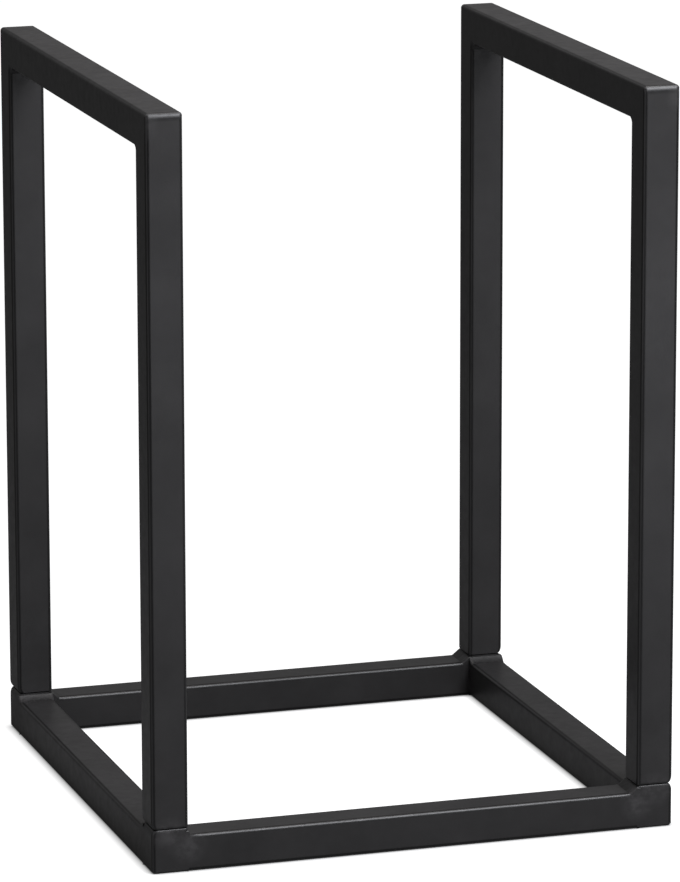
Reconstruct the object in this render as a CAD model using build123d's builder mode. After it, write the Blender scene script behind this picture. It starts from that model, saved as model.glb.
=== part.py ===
from build123d import *
import os

os.makedirs("parts", exist_ok=True)

# Firewood rack of square tube: two hoops screwed to a flat square base.
# Millimetres, origin on the floor under the middle of the rack, front towards -Y.

# Overall size
rack_width = 290
rack_depth = 300
rack_height = 403

# Square steel tube, the same for the hoops and the base
tube = 20
tube_wall = 1.2
tube_edge = 2.0

# The base's corners stand above its rails
corner_rise = 3.6
corner_plate_thickness = 3.0
corner_plate_round = 2.2

# The posts are closed below by a tapped plate with ground outer edges
post_plate_thickness = 5.0
post_plate_round = 2.8

# The hoops' outer top corners are ground off a little
hoop_corner_round = 2.2

# Weld beads in the inside corners
base_bead_leg = 4.6
base_bead_height = 3.0
hoop_bead_leg = 3.4
bead_hollow = 0.35

# Joining set: socket head screw, spring washer and flat washer
screw_diameter = 6.0
screw_length = 12.0
screw_head_diameter = 10.0
screw_head_height = 6.0
socket_size = 5.0
socket_depth = 3.0
screw_edge = 0.5
washer_diameter = 12.0
washer_bore = 6.4
washer_thickness = 1.6
spring_washer_diameter = 11.0
spring_washer_bore = 6.2
spring_washer_thickness = 1.6
spring_washer_gap = 0.8
screw_hole = 6.6
thread_clearance = 0.1

# Foot plug, a cup with two sealing ribs
plug_height = 8.0
plug_floor = 2.0
plug_wall = 1.5
plug_rib_height = 1.0
plug_rib_reach = 0.4
plug_clearance = 0.05

# Places that follow from the sizes above
tube_bore = tube - 2 * tube_wall
bore_edge = max(tube_edge - tube_wall, 0.3)
post_x = (rack_width - tube) / 2
post_y = (rack_depth - tube) / 2
flat_width = tube - 2 * tube_edge
corner_top = tube + corner_rise
corner_tube_height = corner_top - corner_plate_thickness
post_bottom = corner_top + post_plate_thickness
washer_level = corner_tube_height - washer_thickness
spring_washer_level = washer_level - spring_washer_thickness

sides = (("left", -1), ("right", 1))
ends = (("front", -1), ("back", 1))
corners = [(f"{end}_{side}", x, y) for end, y in ends for side, x in sides]


def save(piece, name):
    piece.label = name
    export_step(piece, f"parts/{name}.step")


# Cross-section of the tube, drawn in the sketch that calls it
def tube_section():
    RectangleRounded(tube, tube, tube_edge)
    RectangleRounded(tube_bore, tube_bore, bore_edge, mode=Mode.SUBTRACT)


# Side view of a hoop, with its outer top corners ground off, drawn in the sketch that calls it
def hoop_outline():
    outline = Rectangle(rack_depth, rack_height, align=(Align.CENTER, Align.MIN))
    fillet(outline.vertices().group_by(Axis.Y)[-1], hoop_corner_round)


# The mitre between a post and its top rail
def mitre_plane(y):
    outer_corner = (0, y * rack_depth / 2, rack_height)
    return Plane(origin=outer_corner, x_dir=(1, 0, 0), z_dir=(0, -y, 1))


# Base rails
def make_cross_rail(name, y):
    with BuildPart() as rail:
        with BuildSketch(Plane.YZ):
            with Locations((y * post_y, tube / 2)):
                tube_section()
        extrude(amount=rack_width / 2 - tube, both=True)
    save(rail.part, name)


def make_side_rail(name, x):
    with BuildPart() as rail:
        with BuildSketch(Plane.XZ):
            with Locations((x * post_x, tube / 2)):
                tube_section()
        extrude(amount=rack_depth / 2 - tube, both=True)
    save(rail.part, name)


# A short upright tube, welded flush with the rails, so only its outer edge stays round
def make_corner_tube(name, x, y):
    with BuildPart() as corner_tube:
        with BuildSketch() as section:
            with Locations((x * post_x, y * post_y)):
                Rectangle(tube, tube)
            outer_side = section.vertices().group_by(Axis.X)[-1 if x > 0 else 0]
            fillet(outer_side.sort_by(Axis.Y)[-1 if y > 0 else 0], tube_edge)
            with Locations((x * post_x, y * post_y)):
                RectangleRounded(tube_bore, tube_bore, bore_edge, mode=Mode.SUBTRACT)
        extrude(amount=corner_tube_height)
    save(corner_tube.part, name)


# An end plate between two levels, pierced for the screw. Its two outward edges are ground
# round at the top or at the bottom.
def make_end_plate(name, x, y, bottom, top, hole, rounding, round_top):
    inward = (top - bottom) * (1 if round_top else -1)
    seam = top if round_top else bottom
    with BuildPart() as plate:
        with BuildSketch(Plane.XY.offset(bottom)):
            with Locations((x * post_x, y * post_y)):
                RectangleRounded(tube, tube, tube_edge)
                Circle(hole / 2, mode=Mode.SUBTRACT)
        extrude(amount=top - bottom)
        for plane, outside in ((Plane.XZ, x * rack_width / 2), (Plane.YZ, y * rack_depth / 2)):
            inside = outside - tube * (1 if outside > 0 else -1)
            with BuildSketch(plane):
                with BuildLine():
                    Polyline((inside, seam), (outside, seam), (outside, seam - inward),
                             (inside, seam - inward), close=True)
                ground = make_face().vertices().group_by(Axis.Y)[-1 if round_top else 0]
                fillet(ground.sort_by(Axis.X)[-1 if outside > 0 else 0], rounding)
            extrude(amount=rack_width + rack_depth, both=True, mode=Mode.INTERSECT)
    save(plate.part, name)


# Two beads on the rails' tops, against the raised corner
def make_corner_welds(name, x, y):
    with BuildPart() as welds:
        for plane, place, across in ((Plane.XZ, x * (rack_width / 2 - tube), y * post_y),
                                     (Plane.YZ, y * (rack_depth / 2 - tube), x * post_x)):
            along = -1 if place > 0 else 1
            foot = (place + along * base_bead_leg, tube)
            head = (place, tube + base_bead_height)
            middle = ((foot[0] + head[0]) / 2 - along * bead_hollow,
                      (foot[1] + head[1]) / 2 - bead_hollow)
            offset = -across if plane == Plane.XZ else across
            with BuildSketch(plane.offset(offset)):
                with BuildLine():
                    Line((place, tube), foot)
                    ThreePointArc(foot, middle, head)
                    Line(head, (place, tube))
                make_face()
            extrude(amount=flat_width / 2, both=True)
    save(welds.part, name)


# A post, closed at the top by its mitre with the top rail
def make_post(name, x, y):
    with BuildPart() as post:
        with BuildSketch(Plane.XY.offset(post_bottom)):
            with Locations((x * post_x, y * post_y)):
                tube_section()
        extrude(amount=rack_height - post_bottom)
        with BuildSketch(Plane.YZ):
            hoop_outline()
        extrude(amount=rack_width, both=True, mode=Mode.INTERSECT)
        split(bisect_by=mitre_plane(y), keep=Keep.BOTTOM)
    save(post.part, name)


def make_top_rail(name, x):
    with BuildPart() as rail:
        with BuildSketch(Plane.XZ):
            with Locations((x * post_x, rack_height - tube / 2)):
                tube_section()
        extrude(amount=rack_depth / 2, both=True)
        with BuildSketch(Plane.YZ):
            hoop_outline()
        extrude(amount=rack_width, both=True, mode=Mode.INTERSECT)
        split(bisect_by=mitre_plane(-1), keep=Keep.TOP)
        split(bisect_by=mitre_plane(1), keep=Keep.TOP)
    save(rail.part, name)


# Two beads in a hoop's inner top corners
def make_hoop_welds(name, x):
    ceiling = rack_height - tube
    with BuildPart() as welds:
        for end, y in ends:
            wall = y * (rack_depth / 2 - tube)
            foot = (wall, ceiling - hoop_bead_leg)
            head = (wall - y * hoop_bead_leg, ceiling)
            middle = ((foot[0] + head[0]) / 2 + y * bead_hollow,
                      (foot[1] + head[1]) / 2 + bead_hollow)
            with BuildSketch(Plane.YZ.offset(x * post_x)):
                with BuildLine():
                    Line((wall, ceiling), foot)
                    ThreePointArc(foot, middle, head)
                    Line(head, (wall, ceiling))
                make_face()
            extrude(amount=flat_width / 2, both=True)
    save(welds.part, name)


# A cup pressed into the open underside of a corner tube
def make_foot_plug(name, x, y):
    rib_width = tube_bore - 2 * plug_clearance
    plug_width = rib_width - 2 * plug_rib_reach
    rib_levels = (0, plug_height - 2 * plug_rib_height)
    with BuildPart() as plug:
        with BuildSketch():
            with Locations((x * post_x, y * post_y)):
                RectangleRounded(plug_width, plug_width, bore_edge)
        extrude(amount=plug_height)
        for level in rib_levels:
            with BuildSketch(Plane.XY.offset(level)):
                with Locations((x * post_x, y * post_y)):
                    RectangleRounded(rib_width, rib_width, bore_edge)
            extrude(amount=plug_rib_height)
        with BuildSketch(Plane.XY.offset(plug_height)):
            with Locations((x * post_x, y * post_y)):
                Rectangle(plug_width - 2 * plug_wall, plug_width - 2 * plug_wall)
        extrude(amount=plug_floor - plug_height, mode=Mode.SUBTRACT)
    save(plug.part, name)


# The joining set: one screw and two washers at each corner, all centred on the post
def make_joining_set():
    centres = [(x * post_x, y * post_y) for name, x, y in corners]
    head_bottom = spring_washer_level - screw_head_height
    with BuildPart() as screws:
        with BuildSketch(Plane.XY.offset(head_bottom)):
            with Locations(*centres):
                Circle(screw_head_diameter / 2)
        extrude(amount=screw_head_height)
        chamfer(screws.edges().group_by(Axis.Z)[0], screw_edge)
        with BuildSketch(Plane.XY.offset(spring_washer_level)):
            with Locations(*centres):
                Circle(screw_diameter / 2)
        extrude(amount=screw_length)
        chamfer(screws.edges().group_by(Axis.Z)[-1], screw_edge)
        with BuildSketch(Plane.XY.offset(head_bottom)):
            with Locations(*centres):
                RegularPolygon(socket_size / 2, 6, major_radius=False)
        extrude(amount=socket_depth, mode=Mode.SUBTRACT)
    save(screws.part, "joining_screws")

    with BuildPart() as spring_washers:
        with BuildSketch(Plane.XY.offset(spring_washer_level)):
            with Locations(*centres):
                Circle(spring_washer_diameter / 2)
                Circle(spring_washer_bore / 2, mode=Mode.SUBTRACT)
            with Locations(*[(x + spring_washer_diameter / 2, y) for x, y in centres]):
                Rectangle(spring_washer_diameter, spring_washer_gap, mode=Mode.SUBTRACT)
        extrude(amount=spring_washer_thickness)
    save(spring_washers.part, "spring_washers")

    with BuildPart() as flat_washers:
        with BuildSketch(Plane.XY.offset(washer_level)):
            with Locations(*centres):
                Circle(washer_diameter / 2)
                Circle(washer_bore / 2, mode=Mode.SUBTRACT)
        extrude(amount=washer_thickness)
    save(flat_washers.part, "flat_washers")


# Base
for end, y in ends:
    make_cross_rail(f"base_{end}_rail", y)
for side, x in sides:
    make_side_rail(f"base_{side}_rail", x)
for corner, x, y in corners:
    make_corner_tube(f"{corner}_corner_tube", x, y)
    make_end_plate(f"{corner}_corner_plate", x, y, corner_tube_height, corner_top,
                   screw_hole, corner_plate_round, round_top=True)
    make_corner_welds(f"{corner}_corner_welds", x, y)
    make_foot_plug(f"{corner}_foot_plug", x, y)

# Hoops
for corner, x, y in corners:
    make_post(f"{corner}_post", x, y)
    make_end_plate(f"{corner}_post_plate", x, y, corner_top, post_bottom,
                   screw_diameter + thread_clearance, post_plate_round, round_top=False)
for side, x in sides:
    make_top_rail(f"{side}_top_rail", x)
    make_hoop_welds(f"{side}_hoop_welds", x)

make_joining_set()
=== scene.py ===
import math
import bmesh
import bpy
from mathutils import Matrix, Vector, noise


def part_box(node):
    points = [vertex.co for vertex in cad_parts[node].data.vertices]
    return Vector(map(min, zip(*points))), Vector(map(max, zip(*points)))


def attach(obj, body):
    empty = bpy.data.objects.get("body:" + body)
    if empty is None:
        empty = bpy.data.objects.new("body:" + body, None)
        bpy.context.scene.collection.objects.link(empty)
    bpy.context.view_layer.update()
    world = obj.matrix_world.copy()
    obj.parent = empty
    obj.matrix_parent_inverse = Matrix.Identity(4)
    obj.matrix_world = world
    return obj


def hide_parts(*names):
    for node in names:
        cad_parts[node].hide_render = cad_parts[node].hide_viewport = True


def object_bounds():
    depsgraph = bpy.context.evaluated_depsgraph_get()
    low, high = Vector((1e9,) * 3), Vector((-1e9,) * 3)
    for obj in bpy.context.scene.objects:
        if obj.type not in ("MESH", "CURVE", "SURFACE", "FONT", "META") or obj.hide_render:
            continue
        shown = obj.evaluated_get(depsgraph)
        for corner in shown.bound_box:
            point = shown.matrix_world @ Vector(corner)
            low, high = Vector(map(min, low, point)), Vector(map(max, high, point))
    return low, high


# Firewood rack of black square tube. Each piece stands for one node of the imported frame.
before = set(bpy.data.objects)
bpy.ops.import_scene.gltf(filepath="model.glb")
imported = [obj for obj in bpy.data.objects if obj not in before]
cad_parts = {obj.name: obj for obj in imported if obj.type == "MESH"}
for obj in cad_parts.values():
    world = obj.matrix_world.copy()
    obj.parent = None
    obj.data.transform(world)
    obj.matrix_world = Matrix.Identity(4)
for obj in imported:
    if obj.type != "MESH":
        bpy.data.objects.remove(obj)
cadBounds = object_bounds()
mm = 0.001
tiny = 1e-6  # metres, when levels are compared
usualNoise = (0.3, 0.7)  # where most values of a noise texture lie

rackLow = Vector(cadBounds[0])
rackHigh = Vector(cadBounds[1])
halfWidth = (rackHigh.x - rackLow.x) / 2
halfDepth = (rackHigh.y - rackLow.y) / 2
rackTop = rackHigh.z
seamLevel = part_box("front_left_corner_plate")[1].z  # the posts stand on the corners here
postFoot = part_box("front_left_post")[0].z
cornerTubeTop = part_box("front_left_corner_tube")[1].z

tube = {
    "side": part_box("base_front_rail")[1].z,
    "wall": 1.2 * mm,
    "edge": 2.0 * mm,  # radius of the long edges
    "edgeSegments": 8,
    "strip": 0.35 * mm,  # narrow face beside each rounded edge, so that the flats stay flat
}
railTop = tube["side"]
postX = halfWidth - tube["side"] / 2
postY = halfDepth - tube["side"] / 2

sides = (("left", -1), ("right", 1))
ends = (("front", -1), ("back", 1))
corners = [(end + "_" + side, x, y) for end, y in ends for side, x in sides]


def report(words):
    print("rack:", words)


# Finishes

def addNode(tree, kind, x, y, **values):
    node = tree.nodes.new(kind)
    node.location = (x, y)
    for name, value in values.items():
        if hasattr(node, name):
            setattr(node, name, value)
        else:
            node.inputs[name.replace("_", " ")].default_value = value
    return node


def newFinish(name):
    material = bpy.data.materials.new(name)
    material.use_nodes = True
    tree = material.node_tree
    place = addNode(tree, "ShaderNodeTexCoord", -1900, 0).outputs["Object"]
    return material, tree, tree.nodes["Principled BSDF"], place


def addNoise(tree, place, x, y, scale, detail=3.0, roughness=0.55):
    texture = addNode(tree, "ShaderNodeTexNoise", x, y, Scale=scale, Detail=detail,
                      Roughness=roughness)
    tree.links.new(place, texture.inputs["Vector"])
    return texture.outputs["Fac"]


def addRange(tree, value, x, y, fromLow, fromHigh, toLow, toHigh):
    node = addNode(tree, "ShaderNodeMapRange", x, y, From_Min=fromLow, From_Max=fromHigh,
                   To_Min=toLow, To_Max=toHigh)
    tree.links.new(value, node.inputs["Value"])
    return node.outputs["Result"]


def addMath(tree, operation, first, second, x, y):
    node = addNode(tree, "ShaderNodeMath", x, y, operation=operation)
    for socket, value in zip(node.inputs, (first, second)):
        if isinstance(value, (int, float)):
            socket.default_value = value
        else:
            tree.links.new(value, socket)
    return node.outputs["Value"]


def addRamp(tree, value, x, y, stops):
    node = addNode(tree, "ShaderNodeValToRGB", x, y)
    stops = tuple(stops)
    for position, colour in stops[2:]:
        node.color_ramp.elements.new(position)
    for stop, (position, colour) in zip(node.color_ramp.elements, stops):
        stop.position = position
        stop.color = (*colour, 1)
    tree.links.new(value, node.inputs["Fac"])
    return node.outputs["Color"]


def addBump(tree, height, normal, x, y, depth):
    node = addNode(tree, "ShaderNodeBump", x, y, Strength=1.0, Distance=depth)
    tree.links.new(height, node.inputs["Height"])
    if normal is not None:
        tree.links.new(normal, node.inputs["Normal"])
    return node.outputs["Normal"]


powder = {
    "flat": (0.0265, 0.0255, 0.0258),
    "paintedEdgeShade": (0.0035, 0.0034, 0.0035),  # painted shade: a dark line where a flat turns into a rounded edge, in place of the dark surroundings it would mirror
    "paintedEdgeShadeFrom": 0.18,  # of the way from a flat to the middle of its rounded edge
    "paintedEdgeShadeTo": 0.55,
    "paintedEdgeHighlight": (0.0400, 0.0390, 0.0395),  # painted highlight: the middle of a rounded edge is lighter, in place of the pale floor it would mirror
    "paintedEdgeHighlightFrom": 0.95,
    "cloud": (0.70, 1.0),  # slow change of tone
    "cloudScale": 30.0,
    "cloudNoise": (0.35, 0.70),
    "ground": (0.050, 0.048, 0.049),  # thin coat over ground welds
    "smooth": 0.34,
    "dull": 0.42,
    "sheenScale": 180.0,
    "groundDull": 0.14,  # added where a weld was ground
    "peelScale": 620.0,
    "peelDepth": 0.0015 * mm,
    "waveScale": 55.0,
    "waveDepth": 0.003 * mm,
    "grindScale": 900.0,
    "grindDepth": 0.012 * mm,
    "specular": 0.50,
}

patch = {  # paler blotches where a weld was ground
    "reach": 11.0 * mm,
    "core": 2.0 * mm,
    "railLevel": 14.0 * mm,  # middle of the welds between the rails and the corners
    "mitreIn": 7.0 * mm,  # from the outer top corner of a hoop
    "seamIn": 10.0 * mm,  # from the side of the rack
    "seamDown": 3.0 * mm,
    "scale": 230.0,
    "from": 0.38,
    "to": 0.62,
    "least": 0.25,
}


# How near a point is to a ground weld: 1 on it and 0 beyond the reach, broken into blotches.
# The rack is symmetric, so one quarter of it serves for all.
def groundWelds(tree, place):
    quarter = addNode(tree, "ShaderNodeVectorMath", -1650, -200, operation="ABSOLUTE")
    tree.links.new(place, quarter.inputs[0])
    side = tube["side"]
    spots = (
        (halfWidth - side, halfDepth, patch["railLevel"]),
        (halfWidth, halfDepth - side, patch["railLevel"]),
        (halfWidth, halfDepth - patch["mitreIn"], rackTop - patch["mitreIn"]),
        (halfWidth - patch["seamIn"], halfDepth, seamLevel - patch["seamDown"]),
    )
    nearest = None
    for row, spot in enumerate(spots):
        away = addNode(tree, "ShaderNodeVectorMath", -1450, -200 - 200 * row,
                       operation="DISTANCE")
        away.inputs[1].default_value = spot
        tree.links.new(quarter.outputs[0], away.inputs[0])
        share = addRange(tree, away.outputs["Value"], -1250, -200 - 200 * row,
                         patch["reach"], patch["core"], 0.0, 1.0)
        if nearest is None:
            nearest = share
        else:
            nearest = addMath(tree, "MAXIMUM", nearest, share, -1050, -300)
    blotches = addRange(tree, addNoise(tree, place, -1250, -900, patch["scale"], 4.0, 0.6),
                        -1050, -900, patch["from"], patch["to"], patch["least"], 1.0)
    return addMath(tree, "MULTIPLY", nearest, blotches, -850, -500)


def powderCoat():
    material, tree, shader, place = newFinish("blackPowderCoat")
    # painted shade and painted highlight: the colour turns dark where a flat meets a rounded edge
    # and lighter in the edge's middle
    turn = addNode(tree, "ShaderNodeAttribute", -1250, 800, attribute_name="edgeTurn")
    coatWithPaintedEdges = addRamp(tree, turn.outputs["Fac"], -1000, 800,
                   ((0.0, powder["flat"]), (powder["paintedEdgeShadeFrom"], powder["paintedEdgeShade"]),
                    (powder["paintedEdgeShadeTo"], powder["paintedEdgeShade"]), (powder["paintedEdgeHighlightFrom"], powder["paintedEdgeHighlight"])))
    cloud = addRange(tree, addNoise(tree, place, -1250, 500, powder["cloudScale"], 4.0),
                     -1000, 500, *powder["cloudNoise"], *powder["cloud"])
    tone = addNode(tree, "ShaderNodeVectorMath", -700, 600, operation="SCALE")
    tree.links.new(coatWithPaintedEdges, tone.inputs[0])
    tree.links.new(cloud, tone.inputs["Scale"])
    ground = groundWelds(tree, place)
    mix = addNode(tree, "ShaderNodeMix", -400, 400, data_type="RGBA")
    mix.inputs[7].default_value = (*powder["ground"], 1)
    tree.links.new(ground, mix.inputs[0])
    tree.links.new(tone.outputs[0], mix.inputs[6])
    tree.links.new(mix.outputs[2], shader.inputs["Base Color"])
    sheen = addRange(tree, addNoise(tree, place, -1250, 200, powder["sheenScale"]), -800, 200,
                     *usualNoise, powder["smooth"], powder["dull"])
    groundSheen = addMath(tree, "MULTIPLY", ground, powder["groundDull"], -600, 100)
    tree.links.new(addMath(tree, "ADD", sheen, groundSheen, -400, 100),
                   shader.inputs["Roughness"])
    wave = addBump(tree, addNoise(tree, place, -1250, -1200, powder["waveScale"], 2.0), None,
                   -700, -1200, powder["waveDepth"])
    peel = addBump(tree, addNoise(tree, place, -1250, -1500, powder["peelScale"], 2.0, 0.5), wave,
                   -500, -1200, powder["peelDepth"])
    scratch = addMath(tree, "MULTIPLY", ground,
                      addNoise(tree, place, -1250, -1800, powder["grindScale"], 3.0), -700, -1600)
    tree.links.new(addBump(tree, scratch, peel, -300, -1200, powder["grindDepth"]),
                   shader.inputs["Normal"])
    shader.inputs["Specular IOR Level"].default_value = powder["specular"]
    return material


zinc = {
    "dark": (0.42, 0.43, 0.44),
    "light": (0.60, 0.60, 0.59),
    "smooth": 0.26,
    "dull": 0.44,
    "scale": 420.0,
    "depth": 0.01 * mm,
}


def zincPlate():
    material, tree, shader, place = newFinish("zincPlate")
    cloud = addNoise(tree, place, -1250, 300, zinc["scale"], 5.0)
    tree.links.new(addRamp(tree, cloud, -800, 300, zip(usualNoise, (zinc["dark"], zinc["light"]))),
                   shader.inputs["Base Color"])
    tree.links.new(addRange(tree, cloud, -800, 0, *usualNoise, zinc["smooth"], zinc["dull"]),
                   shader.inputs["Roughness"])
    tree.links.new(addBump(tree, cloud, None, -500, -200, zinc["depth"]),
                   shader.inputs["Normal"])
    shader.inputs["Metallic"].default_value = 1.0
    return material


plastic = {
    "dark": (0.013, 0.013, 0.014),
    "light": (0.022, 0.022, 0.023),
    "smooth": 0.5,
    "dull": 0.68,
    "scale": 700.0,
    "depth": 0.02 * mm,
}


def plugPlastic():
    material, tree, shader, place = newFinish("plugPlastic")
    grain = addNoise(tree, place, -1250, 300, plastic["scale"])
    tree.links.new(addRamp(tree, grain, -800, 300,
                           zip(usualNoise, (plastic["dark"], plastic["light"]))),
                   shader.inputs["Base Color"])
    tree.links.new(addRange(tree, grain, -800, 0, *usualNoise, plastic["smooth"],
                            plastic["dull"]), shader.inputs["Roughness"])
    tree.links.new(addBump(tree, grain, None, -500, -200, plastic["depth"]),
                   shader.inputs["Normal"])
    return material


finishes = {"black_steel": powderCoat(), "zinc_steel": zincPlate(), "plug_plastic": plugPlastic()}
report("finishes made")


# Shaping helpers

# Stores how far the surface turns away from the flats: 0 on them, 1 halfway round an edge. The
# powder coat reads it to paint shade and highlight along the rounded edges
def storeEdgeTurn(mesh):
    turns = mesh.attributes.new("edgeTurn", "FLOAT", "CORNER")
    quarter = math.pi / 4
    for corner, normal in enumerate(mesh.corner_normals):
        most = min(max(abs(part) for part in normal.vector), 1.0)
        turns.data[corner].value = min(math.acos(most) / quarter, 1.0)


def finishPiece(bm, name, slot="black_steel", nodes=(), sharpAngle=35):
    bmesh.ops.remove_doubles(bm, verts=bm.verts, dist=0.001 * mm)
    bmesh.ops.recalc_face_normals(bm, faces=bm.faces)
    mesh = bpy.data.meshes.new(name)
    bm.to_mesh(mesh)
    bm.free()
    mesh.materials.append(finishes[slot])
    mesh.shade_smooth()
    mesh.set_sharp_from_angle(angle=math.radians(sharpAngle))
    storeEdgeTurn(mesh)
    piece = bpy.data.objects.new(name, mesh)
    bpy.context.scene.collection.objects.link(piece)
    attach(piece, "root")
    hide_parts(*nodes)
    return piece


def cutAt(bm, point, normal, clearOuter=False):
    bmesh.ops.bisect_plane(bm, geom=bm.verts[:] + bm.edges[:] + bm.faces[:], dist=1e-7,
                           plane_co=point, plane_no=normal, clear_outer=clearOuter)


# Moves the shape of one bmesh into another
def addShape(target, bm):
    part = bpy.data.meshes.new("part")
    bm.to_mesh(part)
    bm.free()
    target.from_mesh(part)
    bpy.data.meshes.remove(part)


def openEdgesAt(bm, level):
    return [e for e in bm.edges if e.is_boundary
            and all(abs(v.co.z - level) < tiny for v in e.verts)]


def removeFlats(bm):
    bm.normal_update()
    flats = [f for f in bm.faces if abs(f.normal.z) > 0.99]
    bmesh.ops.delete(bm, geom=flats, context="FACES")


# A closed square bar along Z, its long edges rounded, with a strip on the flats beside each edge
def roundedBar(side, edge, low, high, isRounded=lambda e: True):
    bm = bmesh.new()
    bmesh.ops.create_cube(bm, size=1.0)
    bmesh.ops.scale(bm, vec=(side, side, high - low), verts=bm.verts)
    bmesh.ops.translate(bm, vec=(0, 0, (low + high) / 2), verts=bm.verts)
    longEdges = [e for e in bm.edges
                 if abs(e.verts[0].co.z - e.verts[1].co.z) > tiny and isRounded(e)]
    bmesh.ops.bevel(bm, geom=longEdges, offset=edge, offset_type="OFFSET", affect="EDGES",
                    segments=tube["edgeSegments"], profile=0.5, material=-1)
    place = side / 2 - edge - tube["strip"]
    for axis in (Vector((1, 0, 0)), Vector((0, 1, 0))):
        for sign in (-1, 1):
            cutAt(bm, axis * sign * place, axis)
    return bm


# Closes the open end on one side of a level with a rim as wide as the tube's wall
def addRim(bm, isHere):
    openEdges = [e for e in bm.edges if e.is_boundary and isHere(e.verts[0].co.z)]
    cap = bmesh.ops.holes_fill(bm, edges=openEdges, sides=0)["faces"]
    bmesh.ops.inset_region(bm, faces=cap, thickness=tube["wall"], use_even_offset=True)
    bmesh.ops.delete(bm, geom=cap, context="FACES_ONLY")


# A hollow square tube along Z. Each end is a level, the direction that it faces, and the Y at
# which its plane has that level.
def hollowTube(low, high, rings=(), isRounded=lambda e: True):
    spare = 2 * tube["side"]
    bm = roundedBar(tube["side"], tube["edge"], low[0] - spare, high[0] + spare, isRounded)
    for level in rings:
        cutAt(bm, (0, 0, level), (0, 0, 1))
    for level, facing, across in (low, high):
        cutAt(bm, (0, across, level), facing, clearOuter=True)
    middle = (low[0] + high[0]) / 2
    addRim(bm, lambda z: z < middle)
    addRim(bm, lambda z: z > middle)
    bmesh.ops.bridge_loops(bm, edges=[e for e in bm.edges if e.is_boundary])
    return bm


def smoothStep(share):
    share = min(max(share, 0.0), 1.0)
    return share * share * (3 - 2 * share)


# Ground seam between the posts and the base's corners

grind = {
    "postReach": 4.4 * mm,  # height of the ground zone above the seam
    "postDepth": 2.7 * mm,  # how far the outer side is ground back at the seam
    "cornerReach": 4.1 * mm,
    "cornerDepth": 2.1 * mm,
    "frontReach": 1.8 * mm,  # the front and back faces are only broken a little
    "frontDepth": 0.60 * mm,
    "gap": 0.65 * mm,  # shadow line under the post
    "waver": 0.12,  # hand grinding is never even
    "waverScale": 260.0,
    "steps": 9,
}


def groundBack(away, reach, depth):
    share = min(away / reach, 1.0)
    return depth * (1 - math.sqrt(max(0.0, 1 - (1 - share) ** 2)))


# Levels that follow both roundings evenly, above or below the seam
def groundLevels(direction):
    reaches = (grind["postReach"] if direction > 0 else grind["cornerReach"], grind["frontReach"])
    turns = [math.pi / 2 * step / grind["steps"] for step in range(1, grind["steps"] + 1)]
    return [seamLevel + direction * reach * (1 - math.cos(turn)) for reach in reaches
            for turn in turns]


# Takes back the two outward sides towards the seam, and leaves the inward ones
def grindSeam(bm, x, y, isPost):
    side = tube["side"]
    reach = grind["postReach" if isPost else "cornerReach"]
    depth = grind["postDepth" if isPost else "cornerDepth"]
    for v in bm.verts:
        away = abs(v.co.z - seamLevel)
        waver = 1 + grind["waver"] * noise.noise(v.co * grind["waverScale"])
        backSide = groundBack(away, reach, depth) * waver
        backFront = groundBack(away, grind["frontReach"], grind["frontDepth"]) * waver
        innerX = x * (halfWidth - side)
        innerY = y * (halfDepth - side)
        v.co.x = innerX + (v.co.x - innerX) * (side - backSide) / side
        v.co.y = innerY + (v.co.y - innerY) * (side - backFront) / side


# Hoops

hoop = {
    "cornerAlong": 2.0 * mm,  # the outer top corner is ground round, this far along the top
    "cornerDown": 4.2 * mm,  # and this far down the post
    "rings": (0.3, 0.7, 1.2, 1.7, 2.0, 2.4, 3.1, 4.2, 4.6),  # mm from the tube's end
}


# Rounds the outer top corners: a rectangle at each corner is squeezed into a quarter ellipse
def roundHoopCorners(bm):
    along, down = hoop["cornerAlong"], hoop["cornerDown"]
    for v in bm.verts:
        a = (abs(v.co.y) - (halfDepth - along)) / along
        b = (v.co.z - (rackTop - down)) / down
        if a > 1e-6 and b > 1e-6:
            squeeze = max(a, b) / math.hypot(a, b)
            v.co.y = math.copysign(halfDepth - along + a * squeeze * along, v.co.y)
            v.co.z = rackTop - down + b * squeeze * down


def makePost(corner, x, y):
    rings = [rackTop - step * mm for step in hoop["rings"]]
    bm = hollowTube((postFoot, (0, 0, -1), 0), (rackTop, (0, -y, 1), y * tube["side"] / 2), rings)
    bmesh.ops.translate(bm, vec=(x * postX, y * postY, 0), verts=bm.verts)
    roundHoopCorners(bm)
    finishPiece(bm, corner + "_post_tube", nodes=(corner + "_post",))


def makeTopRail(side, x):
    rings = [sign * (halfDepth - step * mm) for step in hoop["rings"] for sign in (-1, 1)]
    bm = hollowTube((-halfDepth, (0, 1, -1), -tube["side"] / 2),
                    (halfDepth, (0, 1, 1), -tube["side"] / 2), rings)
    bmesh.ops.rotate(bm, cent=(0, 0, 0), matrix=Matrix.Rotation(-math.pi / 2, 3, "X"),
                     verts=bm.verts)
    bmesh.ops.translate(bm, vec=(x * postX, 0, rackTop - tube["side"] / 2), verts=bm.verts)
    roundHoopCorners(bm)
    finishPiece(bm, side + "_top_tube", nodes=(side + "_top_rail",))


for corner, x, y in corners:
    makePost(corner, x, y)
for side, x in sides:
    makeTopRail(side, x)
report("hoops made")


# End plates: the posts' feet and the corners' tops

plate = {"postBore": 3.05 * mm, "cornerBore": 3.3 * mm}  # radii


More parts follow.
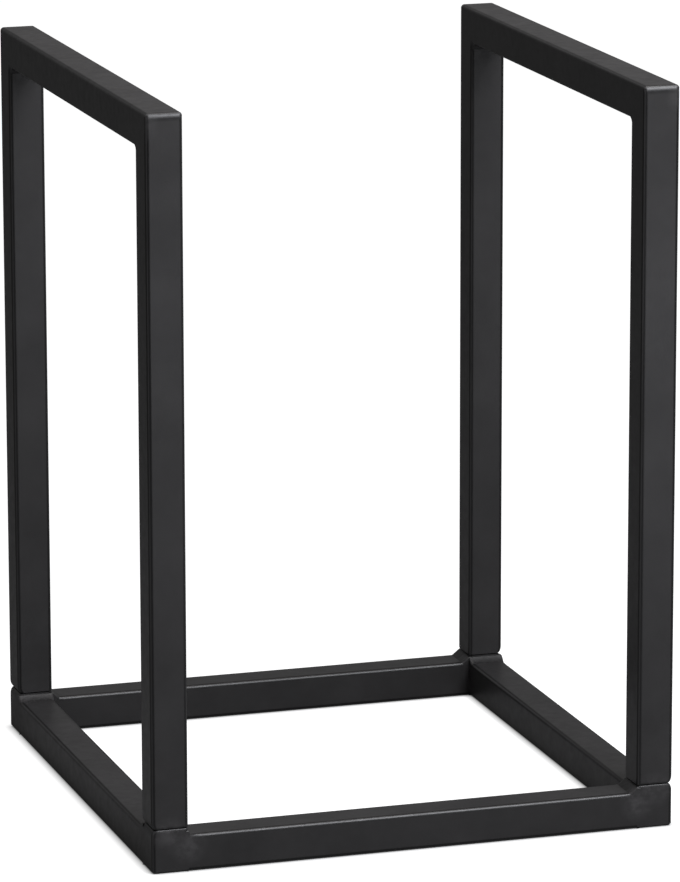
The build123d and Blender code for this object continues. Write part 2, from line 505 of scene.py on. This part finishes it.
def makePlate(name, node, x, y, low, high, bore, isPost):
    bm = roundedBar(tube["side"], tube["edge"], low, high)
    for level in groundLevels(1 if isPost else -1):
        if low + tiny < level < high - tiny:
            cutAt(bm, (0, 0, level), (0, 0, 1))
    removeFlats(bm)
    for level in (low, high):
        cap = bmesh.ops.holes_fill(bm, edges=openEdgesAt(bm, level), sides=0)["faces"]
        bmesh.ops.inset_region(bm, faces=cap, thickness=0)
        for v in {v for f in cap for v in f.verts}:
            v.co = Vector((v.co.x, v.co.y, 0)).normalized() * bore + Vector((0, 0, level))
        bmesh.ops.delete(bm, geom=cap, context="FACES_ONLY")
    bmesh.ops.bridge_loops(bm, edges=[e for e in bm.edges if e.is_boundary])
    bmesh.ops.translate(bm, vec=(x * postX, y * postY, 0), verts=bm.verts)
    grindSeam(bm, x, y, isPost)
    finishPiece(bm, name, nodes=(node,))


for corner, x, y in corners:
    makePlate(corner + "_post_foot", corner + "_post_plate", x, y, seamLevel + grind["gap"],
              postFoot, plate["postBore"], True)
    makePlate(corner + "_corner_top", corner + "_corner_plate", x, y, cornerTubeTop, seamLevel,
              plate["cornerBore"], False)
report("end plates made")


# Base corners

stub = {"chamfer": 1.15 * mm}  # on the two lower outward edges


def makeCornerTube(corner, x, y):
    rings = [level for level in groundLevels(-1) if level < cornerTubeTop - tiny]
    bm = hollowTube((0, (0, 0, -1), 0), (cornerTubeTop, (0, 0, 1), 0), rings,
                    lambda e: e.verts[0].co.x * x > 0 and e.verts[0].co.y * y > 0)
    bm.normal_update()
    lower = [e for e in bm.edges if all(v.co.z < tiny for v in e.verts)
             and any(f.normal.x * x + f.normal.y * y > 0.1 for f in e.link_faces)]
    bmesh.ops.bevel(bm, geom=lower, offset=stub["chamfer"], offset_type="OFFSET",
                    affect="EDGES", segments=1, profile=0.5, material=-1)
    bmesh.ops.translate(bm, vec=(x * postX, y * postY, 0), verts=bm.verts)
    grindSeam(bm, x, y, False)
    finishPiece(bm, corner + "_corner_stub", nodes=(corner + "_corner_tube",))


for corner, x, y in corners:
    makeCornerTube(corner, x, y)
report("base corners made")


# Base rails

rail = {
    "weldFill": 9.0 * mm,  # the upper edges fade into the flush corners over this length
    "fillShare": 0.45,
    "outer": 0.99,  # of the edge's radius, so that the tube's inside keeps its shape
    "rings": (1.2, 2.6, 4.0, 5.6, 7.2, 9.0),  # mm from each end
}


def fillEdges(bm, halfLength, isUpper):
    flat = tube["side"] / 2 - tube["edge"]
    for v in bm.verts:
        a, b = abs(v.co.x) - flat, abs(v.co.y) - flat
        reach = math.hypot(a, b)
        if isUpper(v.co) and min(a, b) > tiny and reach > rail["outer"] * tube["edge"]:
            near = 1 - (halfLength - abs(v.co.z)) / rail["weldFill"]
            grow = 1 + rail["fillShare"] * smoothStep(near) * (reach / max(a, b) - 1)
            v.co.x = math.copysign(flat + a * grow, v.co.x)
            v.co.y = math.copysign(flat + b * grow, v.co.y)


def makeBaseRail(end, place, halfLength, axis, isUpper):
    rings = [sign * (halfLength - step * mm) for step in rail["rings"] for sign in (-1, 1)]
    bm = hollowTube((-halfLength, (0, 0, -1), 0), (halfLength, (0, 0, 1), 0), rings)
    fillEdges(bm, halfLength, isUpper)
    bmesh.ops.rotate(bm, cent=(0, 0, 0), matrix=Matrix.Rotation(math.pi / 2, 3, axis),
                     verts=bm.verts)
    bmesh.ops.translate(bm, vec=place, verts=bm.verts)
    finishPiece(bm, "base_" + end + "_tube", nodes=("base_" + end + "_rail",))


railLevel = tube["side"] / 2
for end, y in ends:
    makeBaseRail(end, (0, y * postY, railLevel), halfWidth - tube["side"], "Y",
                 lambda co: co.x < 0)
for side, x in sides:
    makeBaseRail(side, (x * postX, 0, railLevel), halfDepth - tube["side"], "X",
                 lambda co: co.y > 0)
report("base rails made")


# Weld beads

bead = {
    "leg": 4.6 * mm,  # along the rail's top
    "height": 3.0 * mm,  # up the raised corner
    "shortLeg": 1.3 * mm,
    "shortHeight": 2.2 * mm,
    "shortAt": ("front_left", "cross"),  # this one is ground nearly away
    "back": 2.3 * mm,  # how far it reaches behind the corner's face
    "side": 9.985 * mm,  # half its length
    "edge": 0.8 * mm,  # its ends are a little lower
    "edgeShare": 0.6,
    "slope": 0.62,  # straight part of its profile, the rest is hollow
    "fill": 1.4,  # how soon it covers the tube's rounded edge
    "bury": 0.2 * mm,
    "ripple": 0.09 * mm,
    "pitch": 1.5 * mm,
    "slant": 0.35,
    "middle": 0.6,  # level of the ripples that leaves the bead's size as it is
    "rough": 0.9,
    "roughScale": 420.0,
    "roughStep": 7.3,  # mm between the places of two beads in the noise
    "fade": 5.0,  # how soon the ripples start at the toe
    "steps": (22, 44),  # along the rail and across it
    "hoopLeg": 3.4 * mm,
    "hoopRound": 0.5,  # half way from a flat fillet to a quarter circle
    "hoopSwell": 0.7,
    "hoopBury": 0.5 * mm,
    "hoopSteps": (15, 44),  # round the corner and across
}


# How much lower a tube's face lies at a place across it, where its long edges round off
def roundedOff(across):
    over = max(abs(across) - (tube["side"] / 2 - tube["edge"]), 0.0)
    return tube["edge"] - math.sqrt(max(tube["edge"] ** 2 - over ** 2, 0.0))


def ripple(across, along, seed):
    crest = abs(math.sin(math.pi * (across + bead["slant"] * abs(along)) / bead["pitch"]))
    rough = noise.noise(Vector((across, along, seed * bead["roughStep"] * mm)) * bead["roughScale"])
    return bead["ripple"] * (crest - bead["middle"] + bead["rough"] * rough)


# A bead between a rail's top and a raised corner whose face is at 0, lying along X
def baseBead(leg, height, seed):
    bm = bmesh.new()
    bmesh.ops.create_grid(bm, x_segments=bead["steps"][0], y_segments=bead["steps"][1], size=0.5)
    for v in bm.verts:
        share, across = v.co.x + 0.5, v.co.y * 2 * bead["side"]
        along = -bead["back"] + share * (leg + bead["back"])
        rise = min(max(1 - along / leg, 0.0), 1.0)
        fill = smoothStep(rise * bead["fill"])
        over = max(abs(across) - (bead["side"] - bead["edge"]), 0.0)
        broken = bead["edge"] - math.sqrt(max(bead["edge"] ** 2 - over ** 2, 0.0))
        level = height * (bead["slope"] * rise + (1 - bead["slope"]) * rise * rise)
        level -= broken * bead["edgeShare"] * fill
        wave = ripple(across, along, seed) * min(rise * bead["fade"], 1.0) * (along > 0)
        v.co = (along, across, railTop + level + wave - roundedOff(across) * (1 - fill))
    under = bmesh.ops.extrude_face_region(bm, geom=bm.faces[:], use_keep_orig=True)["geom"]
    for v in under:
        if isinstance(v, bmesh.types.BMVert):
            v.co.z = railTop - tube["edge"] - bead["bury"]
    return bm


def makeCornerBeads(corner, x, y):
    joined = bmesh.new()
    for index, way in enumerate(("cross", "side")):
        leg, height = bead["leg"], bead["height"]
        if (corner, way) == bead["shortAt"]:
            leg, height = bead["shortLeg"], bead["shortHeight"]
        bm = baseBead(leg, height, x + 2 * y + 4 * index)
        if way == "cross":
            turn = 0 if x < 0 else math.pi
            place = (x * (halfWidth - tube["side"]), y * postY, 0)
        else:
            turn = -y * math.pi / 2
            place = (x * postX, y * (halfDepth - tube["side"]), 0)
        bmesh.ops.rotate(bm, cent=(0, 0, 0), matrix=Matrix.Rotation(turn, 3, "Z"), verts=bm.verts)
        bmesh.ops.translate(bm, vec=place, verts=bm.verts)
        addShape(joined, bm)
    finishPiece(joined, corner + "_corner_beads", nodes=(corner + "_corner_welds",))


# A bead in the inside corner of a hoop: across X, from the post's face to the rail's underside
def hoopBead(seed):
    bm = bmesh.new()
    bmesh.ops.create_grid(bm, x_segments=bead["hoopSteps"][0], y_segments=bead["hoopSteps"][1],
                          size=0.5)
    leg = bead["hoopLeg"]
    bow = bead["hoopRound"]
    for v in bm.verts:
        share, across = v.co.x + 0.5, v.co.y * 2 * bead["side"]
        turn = share * math.pi / 2
        out = leg * (bow * (1 - math.cos(turn)) + (1 - bow) * share)
        down = leg * (bow * (1 - math.sin(turn)) + (1 - bow) * (1 - share))
        swell = ripple(across, share * leg, seed) * math.sin(share * math.pi) * bead["hoopSwell"]
        inset = swell - roundedOff(across)
        v.co = (across, out + inset, -down - inset)
    under = bmesh.ops.extrude_face_region(bm, geom=bm.faces[:], use_keep_orig=True)["geom"]
    behind = tube["edge"] + bead["hoopBury"]
    for v in under:
        if isinstance(v, bmesh.types.BMVert):
            if v.co.y < -v.co.z:
                v.co.y = -behind
            else:
                v.co.z = behind
    return bm


def makeHoopBeads(side, x):
    joined = bmesh.new()
    for end, y in ends:
        bm = hoopBead(3 * x + y)
        bmesh.ops.scale(bm, vec=(1, -y, 1), verts=bm.verts)
        place = (x * postX, y * (halfDepth - tube["side"]), rackTop - tube["side"])
        bmesh.ops.translate(bm, vec=place, verts=bm.verts)
        addShape(joined, bm)
    finishPiece(joined, side + "_hoop_beads", nodes=(side + "_hoop_welds",))


for corner, x, y in corners:
    makeCornerBeads(corner, x, y)
for side, x in sides:
    makeHoopBeads(side, x)
report("weld beads made")


# Foot plugs

plug = {
    "height": 8.0 * mm,
    "width": 16.7 * mm,
    "ribWidth": 17.5 * mm,
    "ribs": ((0.0, 1.0), (6.0, 7.0)),  # mm above the floor
    "ribEdge": 0.3,
    "edge": 0.8 * mm,
    "wall": 1.5 * mm,
    "floor": 2.0 * mm,
    "recess": 0.5 * mm,  # shallow dish in the underside
    "recessShare": 0.72,
    "slopeShare": 0.94,
}


# Insets a flat end by scaling it about the axis, and moves it along Z
def insetFlat(bm, faces, share, rise):
    bmesh.ops.inset_region(bm, faces=faces, thickness=0)
    inner = list({v for f in faces for v in f.verts})
    bmesh.ops.scale(bm, vec=(share, share, 1), verts=inner)
    bmesh.ops.translate(bm, vec=(0, 0, rise), verts=inner)


def makeFootPlug(corner, x, y):
    bm = roundedBar(plug["width"], plug["edge"], 0, plug["height"])
    grow = plug["ribWidth"] / plug["width"]
    for low, high in plug["ribs"]:
        for level in (low, low + plug["ribEdge"], high - plug["ribEdge"], high):
            cutAt(bm, (0, 0, level * mm), (0, 0, 1))
        for v in bm.verts:
            if low + plug["ribEdge"] - 0.01 < v.co.z / mm < high - plug["ribEdge"] + 0.01:
                v.co.x *= grow
                v.co.y *= grow
    bm.normal_update()
    top = [f for f in bm.faces if f.normal.z > 0.99]
    base = [f for f in bm.faces if f.normal.z < -0.99]
    insetFlat(bm, top, 1 - 2 * plug["wall"] / plug["width"], 0)
    insetFlat(bm, top, 1.0, plug["floor"] - plug["height"])
    insetFlat(bm, base, plug["recessShare"], 0)
    insetFlat(bm, base, plug["slopeShare"], plug["recess"])
    bmesh.ops.translate(bm, vec=(x * postX, y * postY, 0), verts=bm.verts)
    finishPiece(bm, corner + "_plug", slot="plug_plastic", nodes=(corner + "_foot_plug",),
                sharpAngle=40)


for corner, x, y in corners:
    makeFootPlug(corner, x, y)
report("foot plugs made")


# The screws and washers are the frame's own, with a better finish
for name in ("joining_screws", "spring_washers", "flat_washers"):
    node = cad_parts[name]
    node.data.materials.clear()
    node.data.materials.append(finishes["zinc_steel"])
report("joining set finished")


# Floor, lights and camera

studio = {
    "floorSize": 14.0,
    "floorDrop": 0.05 * mm,
    "floorGlow": 0.98,
    "floorGrey": 0.30,
    "bounceGrey": 0.18,  # what the rack sees of the floor
    "paintedContactShadow": 4.5 * mm,  # reach of the painted contact shadow, a dark line on the floor where the rack stands
    "paintedContactShadowSamples": 16,
    "world": 0.13,  # light from all round
    "glossShare": 0.04,  # how much of the white background the satin coat mirrors
}


# 1 where the background shows white: to the camera and through glass, and in part in gloss
def backgroundShare(tree, x, y):
    rays = addNode(tree, "ShaderNodeLightPath", x, y)
    gloss = addMath(tree, "MULTIPLY", rays.outputs["Is Glossy Ray"], studio["glossShare"],
                    x + 200, y)
    seen = addMath(tree, "MAXIMUM", rays.outputs["Is Camera Ray"], gloss, x + 400, y)
    return addMath(tree, "MAXIMUM", seen, rays.outputs["Is Transmission Ray"], x + 600, y)


def greyDiffuse(tree, grey, x, y):
    node = addNode(tree, "ShaderNodeBsdfDiffuse", x, y)
    node.inputs["Color"].default_value = (grey, grey, grey, 1)
    return node.outputs[0]


def makeFloor():
    bm = bmesh.new()
    bmesh.ops.create_grid(bm, x_segments=1, y_segments=1, size=studio["floorSize"] / 2)
    bmesh.ops.translate(bm, vec=(0, 0, -studio["floorDrop"]), verts=bm.verts)
    mesh = bpy.data.meshes.new("paleFloor")
    bm.to_mesh(mesh)
    bm.free()
    floor = bpy.data.objects.new("paleFloor", mesh)
    bpy.context.scene.collection.objects.link(floor)
    material = bpy.data.materials.new("paleFloor")
    material.use_nodes = True
    tree = material.node_tree
    tree.nodes.clear()
    output = addNode(tree, "ShaderNodeOutputMaterial", 700, 0)
    # painted shadow: the floor's glow is dimmed by ambient occlusion near the rack
    near = addNode(tree, "ShaderNodeAmbientOcclusion", -600, 0,
                   samples=studio["paintedContactShadowSamples"])
    near.inputs["Distance"].default_value = studio["paintedContactShadow"]
    glow = addNode(tree, "ShaderNodeEmission", -200, 100)
    tree.links.new(addMath(tree, "MULTIPLY", near.outputs["AO"], studio["floorGlow"], -400, 0),
                   glow.inputs["Strength"])
    both = addNode(tree, "ShaderNodeAddShader", 0, 50)
    tree.links.new(glow.outputs[0], both.inputs[0])
    tree.links.new(greyDiffuse(tree, studio["floorGrey"], -200, -50), both.inputs[1])
    mix = addNode(tree, "ShaderNodeMixShader", 300, 0)
    tree.links.new(backgroundShare(tree, -800, 300), mix.inputs[0])
    tree.links.new(greyDiffuse(tree, studio["bounceGrey"], 0, -200), mix.inputs[1])
    tree.links.new(both.outputs[0], mix.inputs[2])
    below = addNode(tree, "ShaderNodeNewGeometry", 300, 300)  # from below the floor is clear
    clear = addNode(tree, "ShaderNodeBsdfTransparent", 300, -200)
    surface = addNode(tree, "ShaderNodeMixShader", 500, 100)
    tree.links.new(below.outputs["Backfacing"], surface.inputs[0])
    tree.links.new(mix.outputs[0], surface.inputs[1])
    tree.links.new(clear.outputs[0], surface.inputs[2])
    tree.links.new(surface.outputs[0], output.inputs["Surface"])
    mesh.materials.append(material)


def makeWorld():
    world = bpy.data.worlds.new("paleRoom")
    bpy.context.scene.world = world
    world.use_nodes = True
    tree = world.node_tree
    strength = addRange(tree, backgroundShare(tree, -1000, 0), -300, 0, 0.0, 1.0,
                        studio["world"], 1.0)
    tree.links.new(strength, tree.nodes["Background"].inputs["Strength"])
    tree.nodes["Background"].inputs["Color"].default_value = (1, 1, 1, 1)


softboxes = {  # place, aim, width, height, power in watts and colour
    "keyBox": ((0.45, -1.0, 1.15), (0, -0.1, 0.3), 0.9, 0.6, 21, (0.97, 0.98, 1.03)),
    "overheadBox": ((0.0, 0.1, 1.5), (0, 0, 0.2), 1.0, 1.0, 3, (1.03, 0.97, 0.98)),
    "ridgeBox": ((0.32, -0.35, 1.25), (0, -0.1, 0.2), 0.4, 0.15, 2.0, (1, 1, 1)),
    "sideBox": ((-1.0, -0.45, 0.20), (0, 0, 0.15), 0.12, 0.5, 0.16, (1, 1, 1)),
    "frontBox": ((0.30, -0.95, 0.13), (0, -0.15, 0.25), 0.6, 0.2, 0.50, (0.97, 0.98, 1.03)),
    "backBox": ((0.38, 1.2, 0.75), (0, 0, 0.4), 0.7, 0.4, 0.10, (1.03, 0.97, 0.98)),
}


def makeLights():
    for name, (place, aim, width, height, power, colour) in softboxes.items():
        light = bpy.data.lights.new(name, "AREA")
        light.shape = "RECTANGLE"
        light.size = width
        light.size_y = height
        light.energy = power
        light.color = colour
        box = bpy.data.objects.new(name, light)
        box.visible_camera = False
        box.location = place
        box.rotation_euler = (Vector(aim) - Vector(place)).to_track_quat("-Z", "Y").to_euler()
        bpy.context.scene.collection.objects.link(box)


view = {
    "place": (-0.91314, -2.91702, 0.89706),
    "turn": (76.9656, 0.1089, -17.5075),  # degrees
    "lens": 234.1,
    "sensor": 36.0,
    "far": 50.0,
}


def makeCamera():
    data = bpy.data.cameras.new("photoView")
    data.lens = view["lens"]
    data.sensor_width = view["sensor"]
    data.sensor_fit = "AUTO"
    data.clip_end = view["far"]
    camera = bpy.data.objects.new("photoView", data)
    camera.location = view["place"]
    camera.rotation_euler = [math.radians(angle) for angle in view["turn"]]
    bpy.context.scene.collection.objects.link(camera)
    bpy.context.scene.camera = camera


makeFloor()
makeWorld()
makeLights()
makeCamera()
bpy.context.scene.view_settings.view_transform = "Standard"
report("studio made")
